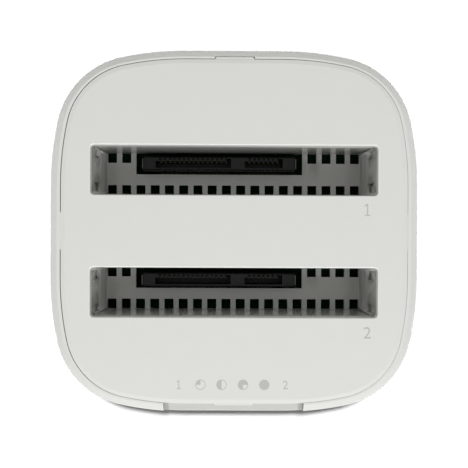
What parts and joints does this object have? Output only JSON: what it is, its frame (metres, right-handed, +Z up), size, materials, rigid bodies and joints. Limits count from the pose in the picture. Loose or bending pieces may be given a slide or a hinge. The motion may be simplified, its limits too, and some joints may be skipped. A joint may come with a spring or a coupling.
{
  "type": "hard drive docking station",
  "caption": "Rounded square desktop dock with open bays for 2.5 inch drives, a light bar in front, and sockets, a rocker switch and a push button behind.",
  "frame": {"origin": "on the table under the middle of the body, at the bottom of the rubber feet", "axes": "+Z up, +Y to the rear with the sockets, +X to the right seen from the front"},
  "size_m": [0.0908, 0.0894, 0.04],
  "materials": {
    "case_white": "fine moulded satin, white",
    "well_grey": "fine moulded satin, light grey",
    "base_grey": "moulded, fine spark texture",
    "foot_rubber": "matte",
    "screw_steel": "zinc plated",
    "board_green": "glass epoxy laminate with solder mask",
    "black_nylon": "moulded, satin",
    "contact_gold": "gold plated",
    "tinned_metal": "tin plated",
    "socket_steel": "nickel plated, drawn",
    "rocker_black": "polished mould",
    "button_grey": "satin",
    "milky_diffuser": "translucent, milky",
    "clear_acrylic": "clear, polished",
    "lamp_resin": "clear resin",
    "chip_epoxy": "moulded epoxy",
    "can_aluminium": "drawn can",
    "ferrite": "sintered, matte",
    "chip_ceramic": "fired ceramic"
  },
  "bodies": {
    "dock": {"outer_shell": "case_white", "top_cover": "case_white", "bay_well_rear": "well_grey", "bay_well_front": "well_grey", "well_screws": "screw_steel", "base_plate": "base_grey", "rubber_feet": "foot_rubber", "case_screws": "screw_steel", "main_board": "board_green", "board_screws": "screw_steel", "receptacle_rear": "black_nylon", "receptacle_front": "black_nylon", "contacts_rear": "contact_gold", "contacts_front": "contact_gold", "receptacle_clips": "tinned_metal", "usb_shell": "socket_steel", "usb_insert": "black_nylon", "jack_body": "black_nylon", "jack_pin": "tinned_metal", "switch_frame": "black_nylon", "switch_pins": "tinned_metal", "push_switch": "black_nylon", "light_bar": "milky_diffuser", "light_guide": "clear_acrylic", "status_lamps": "lamp_resin", "bridge_chip": "chip_epoxy", "memory_chip": "chip_epoxy", "crystal": "socket_steel", "capacitors": "can_aluminium", "coils": "ferrite", "chip_parts": "chip_ceramic"},
    "power_rocker": {"switch_rocker": "rocker_black"},
    "clone_button": {"clone_button": "button_grey", "switch_plunger": "black_nylon"}
  },
  "joints": [
    {"name": "power_rocker_tilt", "type": "hinge", "parent": "dock", "child": "power_rocker", "pos_m": [-0.0099, 0.04082, 0.0148], "axis": [0, 0, 1], "range_deg": [0, 16]},
    {"name": "clone_button_press", "type": "slide", "parent": "dock", "child": "clone_button", "axis": [0, -1, 0], "range_m": [0, 0.0006], "stiffness_N_per_m": 1500}
  ]
}
